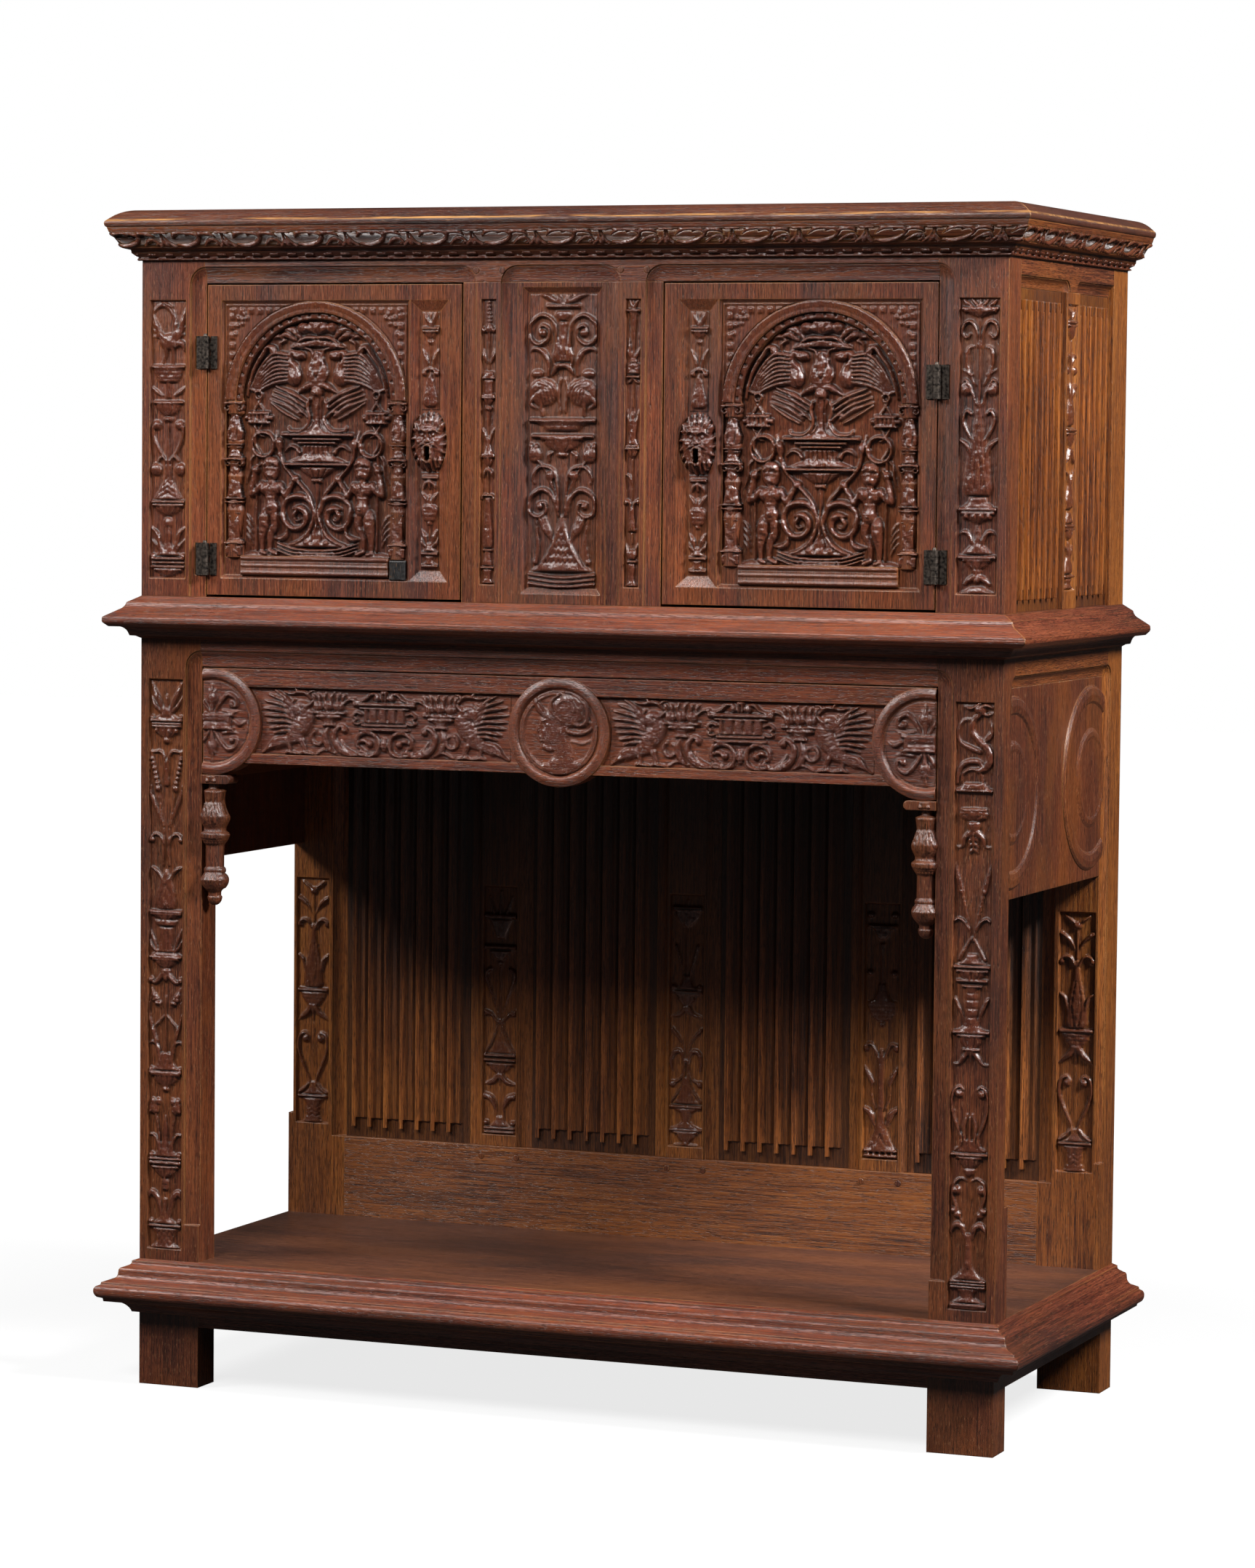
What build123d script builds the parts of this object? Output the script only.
"""Carved oak court cupboard: an open lower stage with a frieze drawer and a linenfold back,
and an upper stage with two locking doors either side of a fixed panel.

Millimetres. X runs to the right, Y towards the back, Z up. The origin is on the floor, under
the middle of the whole piece with its mouldings.
"""

import os

from build123d import *

os.makedirs("parts", exist_ok=True)

# ---------------------------------------------------------------- driving dimensions
# Carcass, without its mouldings
carcass_width = 1125
carcass_depth = 488
foot_height = 90.5
lower_stage_height = 779.5
upper_stage_height = 414.5
top_board_thickness = 21.4

# Mouldings: each member is (reach beyond the carcass, drop below the top, swell of its curve)
plinth_profile = (
    (0, 0, 0),
    (7.4, 2.5, 0),
    (9.4, 7.5, -1),
    (15.4, 10, 0),
    (19.5, 13.5, 1),
    (20, 18, 0),
    (28, 25.5, -2),
    (35.5, 27.5, 0),
    (36.2, 30.5, 0),
    (40.2, 32, 0),
    (42.9, 37.5, 0.8),
    (39.5, 46, 1),
    (34.2, 48, 0),
    (33.5, 52, 0),
    (17, 55, 0),
    (7.2, 67, -1.5),
    (2, 68, 0),
    (0, 68, 0),
)
shelf_profile = (
    (0, 0, 0),
    (13.8, 8, 0),
    (14.4, 10, 0),
    (21, 17, -1),
    (34.4, 25, 0),
    (36.4, 29, 0.8),
    (35, 34, 0.8),
    (30.5, 38, 0),
    (21, 38, 0),
    (12.5, 45.5, -1.5),
    (11, 49.5, 0),
    (5.5, 50, 0),
    (0, 53, 0),
)
cornice_profile = (
    (0, 0, 0),
    (33, 0, 0),
    (31, 6, 0),
    (18.6, 25.6, -2.5),
    (10.7, 27.6, 0),
    (10, 31.6, 0),
    (5.3, 35.6, 0),
    (0, 41.1, -1),
)
top_board_profile = (
    (0, 0, 0),
    (7, 0, 0),
    (30.5, 10.5, 2.2),
    (34.5, 14, 0),
    (35.3, 18, 0.5),
    (33.3, 21.4, 0.5),
    (0, 21.4, 0),
)

# Frame members
post_width = 82
post_depth = 45
rear_post_depth = 60
rear_foot_setback = 12
rail_thickness = 34
stile_width = 86.5
door_opening_inner = 58
front_muntin_width = 72
back_muntin_width = 88
back_muntin_centres = (-257, 5, 271)
side_muntin_width = 54
side_muntin_start = 230
frieze_rail_drop = 33.5
upper_rail_drop = 27.5
side_rail_drop = 34
apron_rail_drop = 35
back_rail_rise = 106
back_rail_drop = 70
shelf_board_thickness = 30
floor_board_thickness = 20
floor_board_count = 3
plinth_rail_thickness = 24
plinth_rail_show = 14
tenon_thickness = 10
tenon_length = 28
tenon_shoulder = 6

# Moulded arrises round the openings
# (width, depth) of the ovolo on each kind of frame
front_ovolo = (20, 6)
back_ovolo = (18, 8)
side_ovolo = (14, 7.5)
ovolo_quirk = 1.5
ovolo_fillet = 3
post_stop_rise = 46.5
side_stop_rise = 133.5

# Sunk strips for the carving on posts, stiles and muntins
strip_depth = 4
strip_margin = 10.5
post_strip_width = 48
post_strip_foot = 14
post_strip_head = 50
stile_strip_width = 50
upper_strip_foot = 22
upper_strip_head = 48
front_muntin_strip_width = 20
back_muntin_strip_width = 48
back_strip_length = 328
back_strip_foot = 15

# Panels
panel_recess = 8
panel_thickness = 12
groove_depth = 6
groove_width = 6
fold_pitch = 23
fold_height = 7
fold_end = 14
fold_hook = 12
centre_panel_thickness = 18
centre_panel_border = 12
centre_panel_sunk = 5

# Aprons of the lower stage
apron_recess = 7.5
apron_thickness = 14
apron_height = 249.5
apron_roundel_drop = 124
apron_roundel_insets = (14, 50)
# Turned roundels: (radius, rise above the board, swell of the curve that leads to it)
apron_roundel_turning = (
    (0, 3, 0),
    (48, 3, 0),
    (52, 4, 0),
    (57, 3.5, 0),
    (62, 1, 0),
    (92, 1, 0),
    (95, 3.5, 0),
    (103, 4.5, 0),
    (111, 3.5, 0),
    (114, 1, 0),
)

# Frieze drawer
drawer_gap = 1.5
drawer_recess = 6
drawer_front_thickness = 24
drawer_front_height = 117
drawer_side_thickness = 14
drawer_side_height = 84
drawer_bottom_thickness = 8
drawer_back_space = 8
frieze_sunk = 5
frieze_upper_margin = 22
frieze_lower_margin = 12
roundel_radius = 66
roundel_drop = 66.5
roundel_end_inset = 13
roundel_turning = (
    (0, 0, 0),
    (52, 0, 0),
    (55, 3.5, 0),
    (62, 3.5, 1),
    (66, 1.5, 0),
)
runner_width = 58
runner_thickness = 20
sliding_gap = 0.3

# Pendants under the ends of the frieze
pendant_axis = 14
pendant_depth_place = 15
pendant_gap = 0.4
pendant_scroll_reach = 26
pendant_scroll_radius = 5.5
pendant_scroll_depth = 26

# Doors
door_recess = 6
door_thickness = 26
door_foot_gap = 3
door_head_gap = 2
door_hinge_gap = 1.5
door_free_gap = 2
door_field_margin = 18.5
door_lock_margin = 17
door_field_foot = 21
door_field_head = 19
door_field_splay = 9
door_spandrel_sunk = 4
door_field_sunk = 11
lock_strip_width = 52
lock_strip_splay = 13
lock_strip_sunk = 6
arch_margin = 5.5
arch_band = 22
arch_inner_step = (8, 2)
arch_top_margin = 1.5
column_foot = 26
door_plinth_height = 24

# Mask escutcheons, locks and bolts
mask_width = 48
mask_height = 76
mask_thickness = 15
mask_rise = 192
mask_clearance = 0.2
keyhole_width = 8
keyhole_height = 18
keyhole_rise = 177
lock_case_width = 60
lock_case_height = 96
lock_case_thickness = 16
lock_case_inset = 4
bolt_thickness = 7
bolt_height = 12
bolt_length = 44
bolt_throw = 14
bolt_clearance = 0.4
bolt_rise_above_keyhole = 24

# Butt hinges
knuckle_radius = 5
hinge_pin_radius = 2
hinge_running_fit = 0.05
hinge_height = 40
hinge_leaf_width = 9
hinge_leaf_thickness = 2
hinge_knuckles = 5
hinge_air = 0.4
hinge_rises = {"left": (47, 302), "right": (53, 269)}
pin_head_radius = 3
pin_head_height = 3

# Oak pegs
peg_radius = 4
peg_length = 22
peg_proud = 0.6
peg_clearance = 0.05
back_peg_offset = 25
front_peg_offset = 17

# ---------------------------------------------------------------- levels and planes
plinth_height = plinth_profile[-1][1]
shelf_moulding_height = shelf_profile[-1][1]
cornice_height = cornice_profile[-1][1]
plinth_reach = max(reach for reach, _, _ in plinth_profile)

plinth_top = foot_height + plinth_height
lower_top = plinth_top + lower_stage_height
shelf_top = lower_top + shelf_moulding_height
shelf_underside = shelf_top - shelf_board_thickness
upper_top = shelf_top + upper_stage_height
cornice_top = upper_top + cornice_height

half_width = carcass_width / 2
front = (plinth_reach - carcass_depth) / 2
back = front + carcass_depth
back_frame = back - rear_post_depth
post_inner = half_width - post_width
stile_inner = half_width - stile_width
muntin_outer = door_opening_inner + front_muntin_width

front_face = Plane.XZ.offset(-front)
back_frame_face = Plane.XZ.offset(-back_frame)
sides = (("left", -1), ("right", 1))


def side_face(side):
    """The outer face of one side of the carcass, with its local x running along the depth."""
    origin = (side * half_width, front if side > 0 else back, 0)
    return Plane(origin=origin, x_dir=(0, side, 0), z_dir=(side, 0, 0))


def along_side(side, start, end):
    """Turn two distances back from the front plane into local x on that side's face."""
    if side > 0:
        return start, end
    return carcass_depth - end, carcass_depth - start


# ---------------------------------------------------------------- shared operations
def block(x, y, z, mode=Mode.ADD):
    """A straight block between its two limits in x, y and z."""
    with BuildSketch(Plane.XY.offset(min(z))) as plan:
        with Locations(((x[0] + x[1]) / 2, (y[0] + y[1]) / 2)):
            Rectangle(abs(x[1] - x[0]), abs(y[1] - y[0]))
    extrude(plan.sketch, amount=abs(z[1] - z[0]), mode=mode)


def outline(points):
    """A closed straight-sided face."""
    with BuildLine() as border:
        Polyline(*points, close=True)
    make_face(border.edges())


def swelling_outline(points, rise=1):
    """A closed face through (x, y, swell) points, each reached by a line or a shallow arc."""
    ring = points + points[:1]
    with BuildLine() as border:
        for (x, y, _), (next_x, next_y, swell) in zip(ring, ring[1:]):
            if swell:
                SagittaArc((x, rise * y), (next_x, rise * next_y), swell)
            else:
                Line((x, rise * y), (next_x, rise * next_y))
    make_face(border.edges())


def moulding_run(profile, start, outward, length):
    """One straight run of a moulding, along a side of the carcass that faces outward."""
    along = Vector(*outward).cross(Vector(0, 0, 1))
    with BuildSketch(Plane(origin=start, x_dir=outward, z_dir=along)) as section:
        swelling_outline(profile, -1)
    extrude(section.sketch, amount=length)


def mitre(side, keep):
    """Cut the mitre at one front corner of the carcass."""
    split(bisect_by=Plane(origin=(side * half_width, front, 0), z_dir=(side, 1, 0)), keep=keep)


def moulded_edge(face, x, z, size):
    """Cut the ovolo that climbs both edges of an opening and turns round its top corners."""
    width, depth = size
    left = x[0] - width
    right = x[1] + width
    with BuildLine(face) as path:
        FilletPolyline(
            (left, z[0]),
            (left, z[1] + width),
            (right, z[1] + width),
            (right, z[0]),
            radius=width + 1,
        )
    start = face.from_local_coords(Vector(left, z[0], 0))
    with BuildSketch(Plane(origin=start, x_dir=face.x_dir, z_dir=(0, 0, 1))) as section:
        swelling_outline((
            (ovolo_quirk, ovolo_quirk, 0),
            (width - ovolo_fillet, depth, ovolo_quirk),
            (width, depth, 0),
            (width, -ovolo_quirk, 0),
            (0, -ovolo_quirk, 0),
            (0, ovolo_quirk, 0),
        ))
    sweep(sections=section.sketch, path=path.line, mode=Mode.SUBTRACT)


def sunk_rectangle(face, x, z, depth, splay):
    """Cut a field with splayed sides into a face, widest at the surface."""
    centre = ((x[0] + x[1]) / 2, (z[0] + z[1]) / 2)
    levels = []
    for sunk, narrowing in ((0, 0), (depth, 2 * splay)):
        with BuildSketch(face.offset(-sunk)) as level:
            with Locations(centre):
                Rectangle(abs(x[1] - x[0]) - narrowing, z[1] - z[0] - narrowing)
        levels.append(level.sketch)
    loft(sections=levels, mode=Mode.SUBTRACT)


def carved_strip(face, centre, width, z):
    """Sink the narrow field that holds the carving of a post, stile or muntin."""
    half = width / 2
    sunk_rectangle(face, (centre - half, centre + half), z, strip_depth, strip_depth / 2)


def turned_roundel(face, centre, turning, thickness):
    """A round boss turned about an axis square to a face, down to a depth below that face."""
    place = face.from_local_coords(Vector(*centre, 0))
    across = face.x_dir.cross(face.z_dir)
    with BuildSketch(Plane(origin=place, x_dir=face.x_dir, z_dir=across)) as section:
        swelling_outline(turning + ((turning[-1][0], -thickness, 0), (0, -thickness, 0)))
    revolve(section.sketch, axis=Axis(place, face.z_dir))


def linenfold(face, x, z):
    """A panel carved with upright folds, standing forward of the face that it is given.

    Its edges are thinned to tongues that sit in the grooves of the frame round it.
    """
    width = x[1] - x[0]
    height = z[1] - z[0]
    floor = Plane(origin=face.from_local_coords(Vector(x[0], z[0], 0)), x_dir=face.x_dir,
                  z_dir=(0, 0, 1))
    for place, reach, thickness in ((floor, 0, panel_thickness),
                                    (floor.offset(-groove_depth), groove_depth, groove_width)):
        with BuildSketch(place) as slab:
            with Locations((width / 2, panel_thickness / 2)):
                Rectangle(width + 2 * reach, thickness)
        extrude(slab.sketch, amount=height + 2 * reach)
    folds = int(width / fold_pitch)
    margin = (width - folds * fold_pitch) / 2
    quarter = fold_pitch / 4
    crest = fold_height * 0.8
    with BuildSketch(floor.offset(fold_end)) as ridges:
        for number in range(folds):
            edge = margin + number * fold_pitch
            outline(((edge, 0), (edge + 1, -fold_height), (edge + quarter, -crest),
                     (edge + quarter, 0)))
    extrude(ridges.sketch, amount=height - 2 * fold_end)
    with BuildSketch(floor.offset(fold_end + fold_hook)) as slopes:
        for number in range(folds):
            edge = margin + number * fold_pitch
            outline(((edge + quarter, 0), (edge + quarter, -crest),
                     (edge + 2 * quarter, -crest * 0.3), (edge + 3 * quarter, -crest * 0.6),
                     (edge + fold_pitch - 1, 0)))
    extrude(slopes.sketch, amount=height - 2 * (fold_end + fold_hook))


def panel_groove(x, y_front, z):
    """Cut the groove that holds a panel's tongue, between limits in x and z."""
    y = y_front + (panel_thickness - groove_width) / 2
    block(x, (y, y + groove_width), z, Mode.SUBTRACT)


def tenon(x, y_front, z, mode):
    """A tenon, or with Mode.SUBTRACT its mortise, centred in the thickness of a rail."""
    y = y_front + (rail_thickness - tenon_thickness) / 2
    block(x, (y, y + tenon_thickness), z, mode)


def save(piece, label):
    """Name a finished piece and write its file."""
    piece.label = label
    export_step(piece, f"parts/{label}.step")


# ---------------------------------------------------------------- front posts
# Each runs from the floor to the shelf board, and its lower end is the foot.
frieze_rail_bottom = lower_top - frieze_rail_drop
apron_rail_bottom = lower_top - apron_rail_drop
apron_bottom = apron_rail_bottom - apron_height
apron_roundel_height = apron_rail_bottom - apron_roundel_drop
lower_opening = ((-post_inner, post_inner), (plinth_top + post_stop_rise, frieze_rail_bottom))
strip_z = (plinth_top + post_strip_foot, lower_top - post_strip_head)
frieze_tenon_z = (frieze_rail_bottom + tenon_shoulder, shelf_underside)
apron_tenon_z = (apron_rail_bottom + tenon_shoulder, shelf_underside)
side_rail_x = (half_width - rail_thickness, half_width)
side_tenon_x = (
    half_width - (rail_thickness + tenon_thickness) / 2,
    half_width - (rail_thickness - tenon_thickness) / 2,
)
apron_face_x = half_width - apron_recess
apron_tongue_x = (
    apron_face_x - (apron_thickness + groove_width) / 2,
    apron_face_x - (apron_thickness - groove_width) / 2,
)


def side_pair(side, x):
    """Mirror two distances from the centre line to one side."""
    return side * x[0], side * x[1]


def side_opening(side):
    """The limits of the opening in one side of the lower stage."""
    span = along_side(side, post_depth, carcass_depth - rear_post_depth)
    return span, (plinth_top + side_stop_rise, apron_rail_bottom)


for hand, side in sides:
    with BuildPart() as front_post:
        block(side_pair(side, (post_inner, half_width)), (front, front + post_depth),
              (0, shelf_underside))
        strip_centre = side * (half_width - strip_margin - post_strip_width / 2)
        carved_strip(front_face, strip_centre, post_strip_width, strip_z)
        moulded_edge(front_face, *lower_opening, front_ovolo)
        moulded_edge(side_face(side), *side_opening(side), side_ovolo)
        tenon(side_pair(side, (post_inner, post_inner + tenon_length)), front, frieze_tenon_z,
              Mode.SUBTRACT)
        block(side_pair(side, side_tenon_x),
              (front + post_depth - tenon_length, front + post_depth), apron_tenon_z, Mode.SUBTRACT)
        block(side_pair(side, apron_tongue_x),
              (front + post_depth - groove_depth, front + post_depth),
              (apron_bottom, apron_rail_bottom + tenon_shoulder), Mode.SUBTRACT)
    save(front_post.part, f"front_post_{hand}")

# ---------------------------------------------------------------- rear posts
# They run in one piece from the floor to the top board, and hold the back frame of the lower
# stage and the back boards of the upper one.
back_rail_bottom = plinth_top - floor_board_thickness
back_rail_top = plinth_top + back_rail_rise
back_top_rail_bottom = lower_top - back_rail_drop
back_strip_z = (back_rail_top + back_strip_foot,
                back_rail_top + back_strip_foot + back_strip_length)
back_panel_front = back_frame + panel_recess
back_rail_tenon_z = (back_rail_bottom + tenon_shoulder, back_rail_top - tenon_shoulder)
back_top_tenon_z = (back_top_rail_bottom + tenon_shoulder, shelf_underside)
side_rail_bottom = upper_top - side_rail_drop
side_rail_tenon_z = (side_rail_bottom + tenon_shoulder, cornice_top - tenon_shoulder)
side_panel_x = half_width - panel_recess
side_tongue_x = (
    side_panel_x - (panel_thickness + groove_width) / 2,
    side_panel_x - (panel_thickness - groove_width) / 2,
)
side_groove_z = (shelf_top, side_rail_bottom + groove_depth)

for hand, side in sides:
    with BuildPart() as rear_post:
        block(side_pair(side, (post_inner, half_width)), (back_frame, back), (0, cornice_top))
        block(side_pair(side, (post_inner, half_width)),
              (back_frame, back_frame + rear_foot_setback), (0, foot_height - plinth_rail_show),
              Mode.SUBTRACT)
        strip_centre = side * (half_width - strip_margin - post_strip_width / 2)
        carved_strip(back_frame_face, strip_centre, post_strip_width, back_strip_z)
        moulded_edge(back_frame_face, (-post_inner, post_inner),
                     (back_rail_top, back_top_rail_bottom), back_ovolo)
        moulded_edge(side_face(side), *side_opening(side), side_ovolo)
        tenon(side_pair(side, (post_inner, post_inner + tenon_length)), back_frame,
              back_rail_tenon_z, Mode.SUBTRACT)
        tenon(side_pair(side, (post_inner, post_inner + tenon_length)), back_frame,
              back_top_tenon_z, Mode.SUBTRACT)
        panel_groove(side_pair(side, (post_inner, post_inner + groove_depth)), back_panel_front,
                     (back_rail_top - groove_depth, back_top_rail_bottom + groove_depth))
        for tenon_z in (apron_tenon_z, side_rail_tenon_z):
            block(side_pair(side, side_tenon_x), (back_frame, back_frame + tenon_length), tenon_z,
                  Mode.SUBTRACT)
        block(side_pair(side, apron_tongue_x), (back_frame, back_frame + groove_depth),
              (apron_bottom, apron_rail_bottom + tenon_shoulder), Mode.SUBTRACT)
        block(side_pair(side, side_tongue_x), (back_frame, back_frame + groove_depth),
              side_groove_z, Mode.SUBTRACT)
    save(rear_post.part, f"rear_post_{hand}")

# ---------------------------------------------------------------- plinth
# Four rails join the feet, and the mouldings are planted round three sides of them.
plinth_rail_z = (foot_height - plinth_rail_show, plinth_top - floor_board_thickness)
with BuildPart() as plinth_rails:
    block((-post_inner, post_inner), (front, front + plinth_rail_thickness), plinth_rail_z)
    block((-post_inner, post_inner), (back - plinth_rail_thickness, back), plinth_rail_z)
    for _, side in sides:
        block(side_pair(side, (half_width - plinth_rail_thickness, half_width)),
              (front + post_depth, back_frame), plinth_rail_z)
save(plinth_rails.part, "plinth_rails")


def front_moulding(profile, top):
    """The front run of a moulding, mitred at both ends."""
    reach = max(member[0] for member in profile)
    moulding_run(profile, (half_width + reach, front, top), (0, -1, 0), carcass_width + 2 * reach)
    mitre(-1, Keep.BOTTOM)
    mitre(1, Keep.BOTTOM)


def side_moulding(profile, top):
    """The right-hand run of a moulding, mitred at the front and square at the back."""
    reach = max(member[0] for member in profile)
    moulding_run(profile, (half_width, back, top), (1, 0, 0), carcass_depth + reach)
    mitre(1, Keep.TOP)


with BuildPart() as base_front_moulding:
    front_moulding(plinth_profile, plinth_top)
save(base_front_moulding.part, "base_front_moulding")

with BuildPart() as base_side_mouldings:
    side_moulding(plinth_profile, plinth_top)
    mirror(about=Plane.YZ)
save(base_side_mouldings.part, "base_side_mouldings")

# ---------------------------------------------------------------- floor boards
board_depth = (back_frame - front) / floor_board_count
with BuildPart() as floor_boards:
    for number in range(floor_board_count):
        start = front + number * board_depth
        block((-half_width, half_width), (start, start + board_depth),
              (plinth_top - floor_board_thickness, plinth_top))
    for _, side in sides:
        block(side_pair(side, (post_inner, half_width)), (front, front + post_depth),
              (plinth_top - floor_board_thickness, plinth_top), Mode.SUBTRACT)
save(floor_boards.part, "floor_boards")

# ---------------------------------------------------------------- back frame, lower stage
# The rails take the muntins' tenons, and every member is grooved for the linenfold panels.
muntin_names = ("left", "centre", "right")
back_muntin_half = back_muntin_width / 2
bay_starts = (-post_inner,) + tuple(centre + back_muntin_half for centre in back_muntin_centres)
bay_ends = tuple(centre - back_muntin_half for centre in back_muntin_centres) + (post_inner,)
bay_edges = tuple(zip(bay_starts, bay_ends))
muntin_tenon_reach = back_muntin_half - tenon_shoulder
rail_peg_height = back_rail_top - tenon_length / 2
rail_peg_places = tuple(
    centre + offset
    for centre in back_muntin_centres
    for offset in (-back_peg_offset, back_peg_offset)
)


def peg_holes(face, places, height, mode=Mode.SUBTRACT, radius=peg_radius + peg_clearance):
    """Round holes for pegs, or the pegs themselves, in a row on a face."""
    proud = 0 if mode == Mode.SUBTRACT else peg_proud
    with BuildSketch(face.offset(proud)) as row:
        with Locations(*[(place, height) for place in places]):
            Circle(radius)
    extrude(row.sketch, amount=-peg_length - proud, mode=mode)


with BuildPart() as back_bottom_rail:
    block((-post_inner, post_inner), (back_frame, back_frame + rail_thickness),
          (back_rail_bottom, back_rail_top))
    tenon((-post_inner - tenon_length, post_inner + tenon_length), back_frame, back_rail_tenon_z,
          Mode.ADD)
    panel_groove((-post_inner, post_inner), back_panel_front,
                 (back_rail_top - groove_depth, back_rail_top))
    for centre in back_muntin_centres:
        tenon((centre - muntin_tenon_reach, centre + muntin_tenon_reach), back_frame,
              (back_rail_top - tenon_length, back_rail_top), Mode.SUBTRACT)
    peg_holes(back_frame_face, rail_peg_places, rail_peg_height)
save(back_bottom_rail.part, "back_bottom_rail")

with BuildPart() as back_top_rail:
    block((-post_inner, post_inner), (back_frame, back_frame + rail_thickness),
          (back_top_rail_bottom, shelf_underside))
    tenon((-post_inner - tenon_length, post_inner + tenon_length), back_frame, back_top_tenon_z,
          Mode.ADD)
    panel_groove((-post_inner, post_inner), back_panel_front,
                 (back_top_rail_bottom, back_top_rail_bottom + groove_depth))
    for centre in back_muntin_centres:
        tenon((centre - muntin_tenon_reach, centre + muntin_tenon_reach), back_frame,
              (back_top_rail_bottom, back_top_rail_bottom + tenon_length), Mode.SUBTRACT)
    for bay in bay_edges:
        moulded_edge(back_frame_face, bay, (back_rail_top, back_top_rail_bottom), back_ovolo)
save(back_top_rail.part, "back_top_rail")

for name, centre in zip(muntin_names, back_muntin_centres):
    edges = (centre - back_muntin_half, centre + back_muntin_half)
    with BuildPart() as back_muntin:
        block(edges, (back_frame, back_frame + rail_thickness),
              (back_rail_top, back_top_rail_bottom))
        tenon((centre - muntin_tenon_reach, centre + muntin_tenon_reach), back_frame,
              (back_rail_top - tenon_length, back_top_rail_bottom + tenon_length), Mode.ADD)
        for bay in bay_edges:
            moulded_edge(back_frame_face, bay, (back_rail_top, back_top_rail_bottom), back_ovolo)
        for edge in edges:
            panel_groove((edge - groove_depth, edge + groove_depth), back_panel_front,
                         (back_rail_top, back_top_rail_bottom))
        carved_strip(back_frame_face, centre, back_muntin_strip_width, back_strip_z)
        peg_holes(back_frame_face, rail_peg_places, rail_peg_height)
    save(back_muntin.part, f"back_muntin_{name}")

back_panel_face = Plane.XZ.offset(-back_panel_front)
for number, (left_edge, right_edge) in enumerate(bay_edges, start=1):
    with BuildPart() as back_panel:
        linenfold(back_panel_face, (left_edge, right_edge), (back_rail_top, back_top_rail_bottom))
    save(back_panel.part, f"back_panel_{number}")

# ---------------------------------------------------------------- aprons
# Thin boards under the side rails, each carved with two ringed roundels that its ends cut.
for hand, side in sides:
    face = side_face(side).offset(-apron_recess)
    apron_x = along_side(side, post_depth, carcass_depth - rear_post_depth)
    insets = apron_roundel_insets[::side]
    roundel_centres = (apron_x[0] + insets[0], apron_x[1] - insets[1])
    with BuildPart() as apron:
        with BuildSketch(face):
            with Locations(((apron_x[0] + apron_x[1]) / 2, (apron_bottom + apron_rail_bottom) / 2)):
                Rectangle(apron_x[1] - apron_x[0], apron_rail_bottom - apron_bottom)
        extrude(amount=-apron_thickness)
        for centre in roundel_centres:
            turned_roundel(face, (centre, apron_roundel_height), apron_roundel_turning,
                           apron_thickness / 2)
        for past_end in ((front - carcass_depth, front + post_depth),
                         (back_frame, back + carcass_depth)):
            block(side_pair(side, (apron_face_x - apron_thickness, half_width)), past_end,
                  (apron_bottom, apron_rail_bottom), Mode.SUBTRACT)
        block(side_pair(side, apron_tongue_x),
              (front + post_depth - groove_depth, back_frame + groove_depth),
              (apron_bottom, apron_rail_bottom + tenon_shoulder))
    save(apron.part, f"apron_{hand}")

with BuildPart() as apron_rails:
    for _, side in sides:
        block(side_pair(side, side_rail_x), (front + post_depth, back_frame),
              (apron_rail_bottom, shelf_underside))
        block(side_pair(side, side_tenon_x),
              (front + post_depth - tenon_length, back_frame + tenon_length), apron_tenon_z)
        block(side_pair(side, apron_tongue_x), (front + post_depth, back_frame),
              (apron_rail_bottom, apron_rail_bottom + tenon_shoulder), Mode.SUBTRACT)
        moulded_edge(side_face(side), *side_opening(side), side_ovolo)
save(apron_rails.part, "apron_rails")

# ---------------------------------------------------------------- frieze rail and drawer
with BuildPart() as frieze_rail:
    block((-post_inner, post_inner), (front, front + rail_thickness),
          (frieze_rail_bottom, shelf_underside))
    tenon((-post_inner - tenon_length, post_inner + tenon_length), front, frieze_tenon_z, Mode.ADD)
    moulded_edge(front_face, *lower_opening, front_ovolo)
save(frieze_rail.part, "frieze_rail")

drawer_half = post_inner - drawer_gap
drawer_face_y = front + drawer_recess
drawer_face = Plane.XZ.offset(-drawer_face_y)
drawer_top = frieze_rail_bottom - drawer_gap
drawer_foot = drawer_top - drawer_front_height
roundel_height = drawer_top - roundel_drop
roundel_places = (-drawer_half + roundel_end_inset, 0, drawer_half - roundel_end_inset)
frieze_z = (drawer_foot + frieze_lower_margin, drawer_top - frieze_upper_margin)


with BuildPart() as drawer_front:
    block((-drawer_half, drawer_half), (drawer_face_y, drawer_face_y + drawer_front_thickness),
          (drawer_foot, drawer_top))
    with BuildSketch(drawer_face):
        with Locations((0, (frieze_z[0] + frieze_z[1]) / 2)):
            Rectangle(2 * drawer_half, frieze_z[1] - frieze_z[0])
    extrude(amount=-frieze_sunk, mode=Mode.SUBTRACT)
    for place in roundel_places:
        turned_roundel(drawer_face, (place, roundel_height), roundel_turning,
                       drawer_front_thickness)
    for _, side in sides:
        block(side_pair(side, (drawer_half, half_width)),
              (front, drawer_face_y + drawer_front_thickness),
              (drawer_foot - roundel_radius, drawer_top), Mode.SUBTRACT)
save(drawer_front.part, "drawer_front")

drawer_box_front = drawer_face_y + drawer_front_thickness
drawer_box_back = back_frame - drawer_back_space
drawer_box_foot = drawer_foot + drawer_bottom_thickness
drawer_box_top = drawer_box_foot + drawer_side_height
with BuildPart() as drawer_sides:
    for _, side in sides:
        block(side_pair(side, (drawer_half - drawer_side_thickness, drawer_half)),
              (drawer_box_front, drawer_box_back), (drawer_box_foot, drawer_box_top))
save(drawer_sides.part, "drawer_sides")

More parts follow.
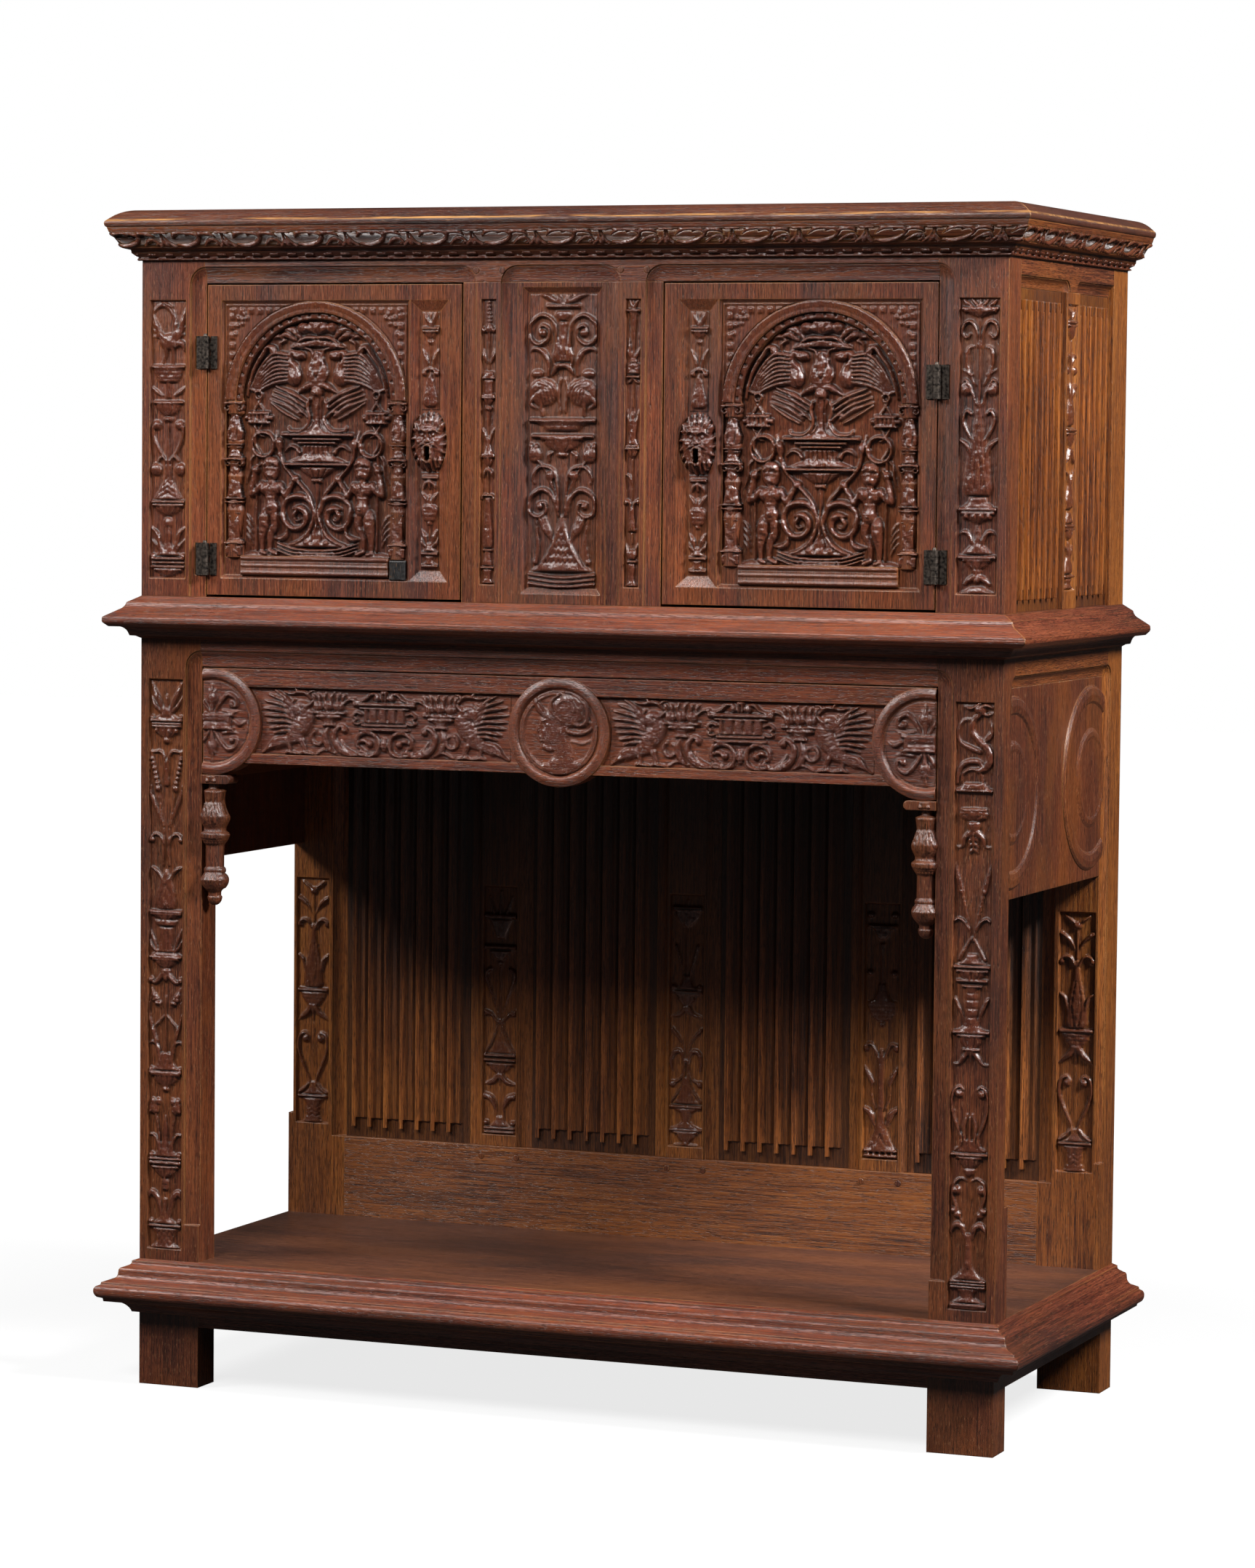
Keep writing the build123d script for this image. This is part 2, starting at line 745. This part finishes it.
with BuildPart() as drawer_back:
    block((drawer_side_thickness - drawer_half, drawer_half - drawer_side_thickness),
          (drawer_box_back - drawer_side_thickness, drawer_box_back),
          (drawer_box_foot, drawer_box_top))
save(drawer_back.part, "drawer_back")

with BuildPart() as drawer_bottom:
    block((-drawer_half, drawer_half), (drawer_box_front, drawer_box_back),
          (drawer_foot, drawer_box_foot))
save(drawer_bottom.part, "drawer_bottom")

with BuildPart() as drawer_runners:
    for _, side in sides:
        block(side_pair(side, (drawer_half - drawer_side_thickness,
                               drawer_half - drawer_side_thickness + runner_width)),
              (front + post_depth, back_frame),
              (drawer_foot - sliding_gap - runner_thickness, drawer_foot - sliding_gap))
save(drawer_runners.part, "drawer_runners")

# ---------------------------------------------------------------- pendants
# Turned drops, flat against the posts, under the two ends of the frieze.
pendant_top = roundel_height - roundel_radius - pendant_gap
# Each step is (radius, drop from the top, swell of the curve that leads to it)
pendant_turning = (
    (0, 0, 0),
    (14, 0, 0),
    (14, 8, 0),
    (8, 11, 0),
    (8, 17, 0),
    (14, 20, 0),
    (12.4, 34, -0.8),
    (18.6, 52, -1),
    (17, 60, 0.8),
    (14, 66, 0),
    (14, 70, 0),
    (17.7, 73, 0),
    (17.7, 78, 0.8),
    (16, 82, 0),
    (11.5, 88, 0),
    (11.5, 115, 0),
    (13.3, 117, 0),
    (13.3, 122, 0.6),
    (12.5, 123, 0),
    (17.7, 131, 1.2),
    (13, 142, 1.2),
    (8, 147, -1),
    (8, 151, 0),
    (9, 155, 0.8),
    (2.5, 163, 1.5),
    (0, 163, 0),
)
for hand, side in sides:
    pendant_x = side * (post_inner - pendant_axis)
    pendant_y = front + pendant_depth_place
    with BuildPart() as pendant:
        with BuildSketch(Plane(origin=(pendant_x, pendant_y, pendant_top), x_dir=(1, 0, 0),
                               z_dir=(0, -1, 0))):
            swelling_outline(pendant_turning, -1)
        revolve(axis=Axis((pendant_x, pendant_y, pendant_top), (0, 0, 1)))
        with BuildSketch(Plane.XZ.offset(-pendant_y - pendant_scroll_depth / 2)):
            with Locations((pendant_x, pendant_top - pendant_scroll_radius)):
                SlotOverall(2 * pendant_scroll_reach, 2 * pendant_scroll_radius)
        extrude(amount=pendant_scroll_depth)
        block(side_pair(side, (post_inner, half_width)), (front - post_depth, front + post_depth),
              (apron_bottom - post_width, pendant_top), Mode.SUBTRACT)
    save(pendant.part, f"pendant_{hand}")

# ---------------------------------------------------------------- shelf between the stages
with BuildPart() as shelf_board:
    block((-half_width, half_width), (front, back), (shelf_underside, shelf_top))
    for _, side in sides:
        block(side_pair(side, (post_inner, half_width)), (back_frame, back),
              (shelf_underside, shelf_top), Mode.SUBTRACT)
save(shelf_board.part, "shelf_board")

with BuildPart() as shelf_front_moulding:
    front_moulding(shelf_profile, shelf_top)
save(shelf_front_moulding.part, "shelf_front_moulding")

with BuildPart() as shelf_side_mouldings:
    side_moulding(shelf_profile, shelf_top)
    mirror(about=Plane.YZ)
save(shelf_side_mouldings.part, "shelf_side_mouldings")

# ---------------------------------------------------------------- upper front frame
upper_rail_bottom = upper_top - upper_rail_drop
upper_strip_z = (shelf_top + upper_strip_foot, upper_top - upper_strip_head)
upper_tenon_z = (upper_rail_bottom + tenon_shoulder, cornice_top - tenon_shoulder)
front_openings = (
    (-stile_inner, -muntin_outer),
    (-door_opening_inner, door_opening_inner),
    (muntin_outer, stile_inner),
)
muntin_centre = door_opening_inner + front_muntin_width / 2
front_peg_places = tuple(
    side * (muntin_centre + offset)
    for _, side in sides
    for offset in (-front_peg_offset, front_peg_offset)
)
muntin_tenon_x = (door_opening_inner + tenon_shoulder, muntin_outer - tenon_shoulder)
front_peg_height = upper_rail_bottom + tenon_length / 2


def leaf_seats(side, hand):
    """Cut the seats of the hinge leaves into a stile or a door, flush with the door's face."""
    reach = knuckle_radius + hinge_air + hinge_leaf_width
    for rise in hinge_rises[hand]:
        block(side_pair(side, (stile_inner - reach, stile_inner + reach)),
              (front, front + door_recess),
              (shelf_top + rise - hinge_height / 2, shelf_top + rise + hinge_height / 2),
              Mode.SUBTRACT)


for hand, side in sides:
    with BuildPart() as front_stile:
        block(side_pair(side, (stile_inner, half_width)), (front, front + rail_thickness),
              (shelf_top, cornice_top))
        block(side_pair(side, side_rail_x), (front + rail_thickness, front + post_depth),
              (shelf_top, cornice_top))
        strip_centre = side * (half_width - strip_margin - stile_strip_width / 2)
        carved_strip(front_face, strip_centre, stile_strip_width, upper_strip_z)
        for opening in front_openings:
            moulded_edge(front_face, opening, (shelf_top, upper_rail_bottom), front_ovolo)
        leaf_seats(side, hand)
        tenon(side_pair(side, (stile_inner, stile_inner + tenon_length)), front, upper_tenon_z,
              Mode.SUBTRACT)
        block(side_pair(side, side_tenon_x),
              (front + post_depth - tenon_length / 2, front + post_depth), side_rail_tenon_z,
              Mode.SUBTRACT)
        block(side_pair(side, side_tongue_x),
              (front + post_depth - groove_depth, front + post_depth), side_groove_z,
              Mode.SUBTRACT)
    save(front_stile.part, f"front_stile_{hand}")

with BuildPart() as upper_front_rail:
    block((-stile_inner, stile_inner), (front, front + rail_thickness),
          (upper_rail_bottom, cornice_top))
    tenon((-stile_inner - tenon_length, stile_inner + tenon_length), front, upper_tenon_z,
          Mode.ADD)
    for opening in front_openings:
        moulded_edge(front_face, opening, (shelf_top, upper_rail_bottom), front_ovolo)
    for _, side in sides:
        tenon(side_pair(side, muntin_tenon_x), front,
              (upper_rail_bottom, upper_rail_bottom + tenon_length), Mode.SUBTRACT)
    peg_holes(front_face, front_peg_places, front_peg_height)
save(upper_front_rail.part, "upper_front_rail")

for hand, side in sides:
    with BuildPart() as front_muntin:
        block(side_pair(side, (door_opening_inner, muntin_outer)), (front, front + rail_thickness),
              (shelf_top, upper_rail_bottom))
        tenon(side_pair(side, muntin_tenon_x), front,
              (upper_rail_bottom, upper_rail_bottom + tenon_length), Mode.ADD)
        for opening in front_openings:
            moulded_edge(front_face, opening, (shelf_top, upper_rail_bottom), front_ovolo)
        carved_strip(front_face, side * muntin_centre, front_muntin_strip_width, upper_strip_z)
        peg_holes(front_face, front_peg_places, front_peg_height)
    save(front_muntin.part, f"front_muntin_{hand}")

centre_face = Plane.XZ.offset(-(front + door_recess))
with BuildPart() as centre_panel:
    block((-door_opening_inner, door_opening_inner),
          (front + door_recess, front + door_recess + centre_panel_thickness),
          (shelf_top, upper_rail_bottom))
    sunk_rectangle(centre_face,
                   (-door_opening_inner + centre_panel_border / 2,
                    door_opening_inner - centre_panel_border / 2),
                   (shelf_top + centre_panel_border, upper_rail_bottom - centre_panel_border / 2),
                   centre_panel_sunk, centre_panel_border - centre_panel_sunk)
save(centre_panel.part, "centre_panel")

# ---------------------------------------------------------------- sides, upper stage
side_bays = (
    (post_depth, side_muntin_start),
    (side_muntin_start + side_muntin_width, carcass_depth - rear_post_depth),
)
with BuildPart() as side_top_rails:
    for _, side in sides:
        block(side_pair(side, side_rail_x), (front + post_depth, back_frame),
              (side_rail_bottom, cornice_top))
        block(side_pair(side, side_tenon_x),
              (front + post_depth - tenon_length / 2, back_frame + tenon_length),
              side_rail_tenon_z)
        for bay in side_bays:
            moulded_edge(side_face(side), along_side(side, *bay),
                         (side_rail_bottom - side_ovolo[0], side_rail_bottom), side_ovolo)
        block(side_pair(side, side_tongue_x), (front + post_depth, back_frame),
              (side_rail_bottom, side_rail_bottom + groove_depth), Mode.SUBTRACT)
save(side_top_rails.part, "side_top_rails")

with BuildPart() as side_muntins:
    for _, side in sides:
        muntin_y = (front + side_muntin_start, front + side_muntin_start + side_muntin_width)
        block(side_pair(side, side_rail_x), muntin_y, (shelf_top, side_rail_bottom))
        strip_face = side_face(side)
        strip_middle = sum(along_side(side, side_muntin_start,
                                      side_muntin_start + side_muntin_width)) / 2
        carved_strip(strip_face, strip_middle, side_muntin_width - strip_margin, upper_strip_z)
        for edge in muntin_y:
            block(side_pair(side, side_tongue_x), (edge - groove_depth, edge + groove_depth),
                  (shelf_top, side_rail_bottom), Mode.SUBTRACT)
save(side_muntins.part, "side_muntins")

for hand, side in sides:
    face = side_face(side).offset(-panel_recess)
    with BuildPart() as side_panels:
        for bay in side_bays:
            linenfold(face, along_side(side, *bay), (shelf_top, side_rail_bottom))
        block(side_pair(side, (side_panel_x - panel_thickness, side_panel_x)),
              (front + post_depth - groove_depth, back_frame + groove_depth),
              (shelf_top - groove_depth, shelf_top), Mode.SUBTRACT)
    save(side_panels.part, f"side_panels_{hand}")

with BuildPart() as upper_back_boards:
    board_width = 2 * post_inner / 3
    for number in range(3):
        start = -post_inner + number * board_width
        block((start, start + board_width), (back_frame + panel_thickness,
                                             back_frame + 2 * panel_thickness),
              (shelf_top, cornice_top))
save(upper_back_boards.part, "upper_back_boards")

# ---------------------------------------------------------------- cornice and top board
with BuildPart() as cornice_front_moulding:
    front_moulding(cornice_profile, cornice_top)
save(cornice_front_moulding.part, "cornice_front_moulding")

with BuildPart() as cornice_side_mouldings:
    side_moulding(cornice_profile, cornice_top)
    mirror(about=Plane.YZ)
save(cornice_side_mouldings.part, "cornice_side_mouldings")

board_top = cornice_top + top_board_thickness
with BuildPart() as top_board:
    block((-half_width, half_width), (front, back), (cornice_top, board_top))
    with BuildLine() as board_edge:
        Polyline(
            (half_width, back, board_top),
            (half_width, front, board_top),
            (-half_width, front, board_top),
            (-half_width, back, board_top),
        )
    with BuildSketch(Plane(origin=(half_width, back, board_top), x_dir=(1, 0, 0),
                           z_dir=(0, -1, 0))) as edge_section:
        swelling_outline(top_board_profile, -1)
    sweep(sections=edge_section.sketch, path=board_edge.line, transition=Transition.RIGHT)
save(top_board.part, "top_board")

# ---------------------------------------------------------------- doors
# Each is one thick board. An arched field with columns is cut into it beside a narrower
# strip that carries the mask and its keyhole.
door_hinge_edge = stile_inner - door_hinge_gap
door_free_edge = muntin_outer + door_free_gap
door_foot = shelf_top + door_foot_gap
door_head = upper_rail_bottom - door_head_gap
door_front_y = front + door_recess
door_back_y = door_front_y + door_thickness
door_face = Plane.XZ.offset(-door_front_y)
strip_x = (door_free_edge + door_lock_margin, door_free_edge + door_lock_margin + lock_strip_width)
field_x = (strip_x[1], door_hinge_edge - door_field_margin)
field_z = (door_foot + door_field_foot, door_head - door_field_head)
arch_centre = (field_x[0] + field_x[1]) / 2
arch_radius = (field_x[1] - field_x[0]) / 2 - arch_margin
arch_inner = arch_radius - arch_band
arch_spring = field_z[1] - arch_top_margin - arch_radius
mask_x = (strip_x[0] + strip_x[1]) / 2
mask_z = door_foot + mask_rise
keyhole_z = door_foot + keyhole_rise
column_z = (field_z[0] + column_foot, arch_spring)
# Each turning of a column is (share of its height, radius)
column_turning = (
    (0, 12),
    (0.1, 12),
    (0.13, 8),
    (0.3, 11.5),
    (0.42, 7.5),
    (0.52, 11),
    (0.56, 7),
    (0.62, 11),
    (0.66, 7),
    (0.74, 11),
    (0.9, 6.5),
    (0.92, 11),
    (1, 12.5),
)


def keyhole(face, centre, length):
    """An upright slot for the key, cut back from a face."""
    with BuildSketch(face) as slot:
        with Locations((centre, keyhole_z)):
            SlotOverall(keyhole_height, keyhole_width, rotation=90)
    extrude(slot.sketch, amount=-length, mode=Mode.SUBTRACT)


for hand, side in sides:
    with BuildPart() as door:
        block(side_pair(side, (door_free_edge, door_hinge_edge)), (door_front_y, door_back_y),
              (door_foot, door_head))
        sunk_rectangle(door_face, side_pair(side, field_x), field_z, door_spandrel_sunk,
                       door_spandrel_sunk)
        with BuildSketch(door_face.offset(-door_spandrel_sunk)):
            with Locations((side * arch_centre, arch_spring)):
                Circle(arch_inner)
            with Locations((side * arch_centre, (column_z[0] + arch_spring) / 2)):
                Rectangle(2 * arch_radius, arch_spring - column_z[0])
        extrude(amount=door_spandrel_sunk - door_field_sunk, mode=Mode.SUBTRACT)
        for end in (-1, 1):
            column_x = side * arch_centre + end * (arch_radius + arch_inner) / 2
            column_place = Plane(origin=(column_x, door_front_y + door_field_sunk, column_z[0]),
                                 x_dir=(1, 0, 0), z_dir=(0, -1, 0))
            column_height = column_z[1] - column_z[0]
            with BuildSketch(column_place):
                outline(
                    [(0, 0)]
                    + [(radius, share * column_height) for share, radius in column_turning]
                    + [(0, column_height)]
                )
            revolve(axis=Axis(column_place.origin, (0, 0, 1)))
        with BuildSketch(door_face.offset(-door_spandrel_sunk)):
            with Locations((side * arch_centre, arch_spring)):
                Circle(arch_inner + arch_inner_step[0])
            with Locations((side * arch_centre, arch_spring - arch_radius)):
                Rectangle(2 * arch_radius, 2 * arch_radius, mode=Mode.SUBTRACT)
        extrude(amount=-arch_inner_step[1], mode=Mode.SUBTRACT)
        with BuildSketch(door_face.offset(-door_spandrel_sunk)):
            with Locations((side * arch_centre, arch_spring)):
                Circle(arch_radius)
                Circle(arch_inner + arch_inner_step[0], mode=Mode.SUBTRACT)
            with Locations((side * arch_centre, arch_spring - arch_radius)):
                Rectangle(2 * arch_radius, 2 * arch_radius, mode=Mode.SUBTRACT)
        extrude(amount=door_spandrel_sunk * 0.75)
        with BuildSketch(Plane.XY.offset(field_z[0] + door_spandrel_sunk)):
            with Locations((side * arch_centre, door_front_y + door_spandrel_sunk / 2)):
                Rectangle(2 * arch_inner, door_spandrel_sunk)
        extrude(amount=door_plinth_height)
        sunk_rectangle(door_face, side_pair(side, strip_x), field_z, lock_strip_sunk,
                       lock_strip_splay)
        with BuildSketch(door_face):
            with Locations((side * mask_x, mask_z)):
                Ellipse(mask_width / 2 + mask_clearance, mask_height / 2 + mask_clearance)
        extrude(amount=-lock_strip_sunk, mode=Mode.SUBTRACT)
        keyhole(door_face, side * mask_x, door_thickness)
    save(door.part, f"door_{hand}")

# ---------------------------------------------------------------- mask escutcheons
# A carved head in a ragged collar of leaves, with the keyhole through its mouth.
for hand, side in sides:
    with BuildPart() as mask:
        seat = door_face.offset(-lock_strip_sunk)
        for rise, share in ((0, 1), (mask_thickness * 0.45, 0.92), (mask_thickness, 0.55)):
            with BuildSketch(seat.offset(rise)):
                with Locations((side * mask_x, mask_z)):
                    Ellipse(mask_width / 2 * share, mask_height / 2 * share)
        loft()
        keyhole(seat.offset(mask_thickness), side * mask_x, mask_thickness)
    save(mask.part, f"mask_{hand}")

# ---------------------------------------------------------------- locks and their bolts
# An iron case on the back of each door. Its bolt slides out behind the muntin.
case_x = (door_free_edge + lock_case_inset, door_free_edge + lock_case_inset + lock_case_width)
bolt_z = keyhole_z + bolt_rise_above_keyhole
bolt_y = front + rail_thickness + bolt_clearance + bolt_thickness / 2
for hand, side in sides:
    with BuildPart() as lock_case:
        block(side_pair(side, case_x), (door_back_y, door_back_y + lock_case_thickness),
              (keyhole_z - lock_case_height / 2, keyhole_z + lock_case_height / 2))
        block(side_pair(side, (case_x[0], case_x[0] + bolt_length + bolt_clearance)),
              (bolt_y - bolt_thickness / 2 - bolt_clearance,
               bolt_y + bolt_thickness / 2 + bolt_clearance),
              (bolt_z - bolt_height / 2 - bolt_clearance, bolt_z + bolt_height / 2 + bolt_clearance),
              Mode.SUBTRACT)
        keyhole(Plane.XZ.offset(-door_back_y), side * mask_x, lock_case_thickness - 3)
    save(lock_case.part, f"lock_case_{hand}")

    with BuildPart() as lock_bolt:
        block(side_pair(side, (case_x[0], case_x[0] + bolt_length)),
              (bolt_y - bolt_thickness / 2, bolt_y + bolt_thickness / 2),
              (bolt_z - bolt_height / 2, bolt_z + bolt_height / 2))
    save(lock_bolt.part, f"lock_bolt_{hand}")

# ---------------------------------------------------------------- hinges
# Butt hinges on the face of the work: the leaves lie in shallow seats and the knuckles stand
# proud. The frame's leaf has the odd knuckles and the door's leaf the even ones.
hinge_x = (stile_inner + door_hinge_edge) / 2
hinge_y = door_front_y - knuckle_radius - hinge_air
knuckle_height = hinge_height / hinge_knuckles


def hinge_leaf(side, rise, outward, knuckles):
    """One leaf with its knuckles; outward is 1 on the stile and -1 on the door."""
    foot = shelf_top + rise - hinge_height / 2
    leaf_start = hinge_x + outward * (knuckle_radius + hinge_air)
    leaf_end = leaf_start + outward * (hinge_leaf_width - hinge_air)
    leaf_y = (door_front_y - hinge_leaf_thickness, door_front_y)
    block(side_pair(side, (leaf_start, leaf_end)), leaf_y, (foot, foot + hinge_height))
    for number in knuckles:
        low = foot + number * knuckle_height + hinge_air / 2
        high = foot + (number + 1) * knuckle_height - hinge_air / 2
        with BuildSketch(Plane.XY.offset(low)) as knuckle:
            with Locations((side * hinge_x, hinge_y)):
                Circle(knuckle_radius)
            with Locations((side * (hinge_x + leaf_start) / 2,
                            door_front_y - hinge_leaf_thickness / 2)):
                Rectangle(abs(leaf_start - hinge_x), hinge_leaf_thickness)
            with Locations((side * hinge_x, hinge_y)):
                Circle(hinge_pin_radius + hinge_running_fit, mode=Mode.SUBTRACT)
        extrude(knuckle.sketch, amount=high - low)


with BuildPart() as hinge_frame_leaves:
    for hand, side in sides:
        for rise in hinge_rises[hand]:
            hinge_leaf(side, rise, 1, range(0, hinge_knuckles, 2))
save(hinge_frame_leaves.part, "hinge_frame_leaves")

for hand, side in sides:
    with BuildPart() as hinge_door_leaves:
        for rise in hinge_rises[hand]:
            hinge_leaf(side, rise, -1, range(1, hinge_knuckles, 2))
    save(hinge_door_leaves.part, f"hinge_door_leaves_{hand}")

with BuildPart() as hinge_pins:
    for hand, side in sides:
        for rise in hinge_rises[hand]:
            foot = shelf_top + rise - hinge_height / 2
            with BuildSketch(Plane.XY.offset(foot)):
                with Locations((side * hinge_x, hinge_y)):
                    Circle(hinge_pin_radius)
            extrude(amount=hinge_height)
            with BuildSketch(Plane.XY.offset(foot + hinge_height)):
                with Locations((side * hinge_x, hinge_y)):
                    Circle(pin_head_radius)
            extrude(amount=pin_head_height, taper=20)
save(hinge_pins.part, "hinge_pins")

# ---------------------------------------------------------------- pegs
# Oak pegs that hold the muntins' tenons in the rails.
with BuildPart() as pegs:
    peg_holes(front_face, front_peg_places, front_peg_height, Mode.ADD, peg_radius)
    peg_holes(back_frame_face, rail_peg_places, rail_peg_height, Mode.ADD, peg_radius)
save(pegs.part, "pegs")
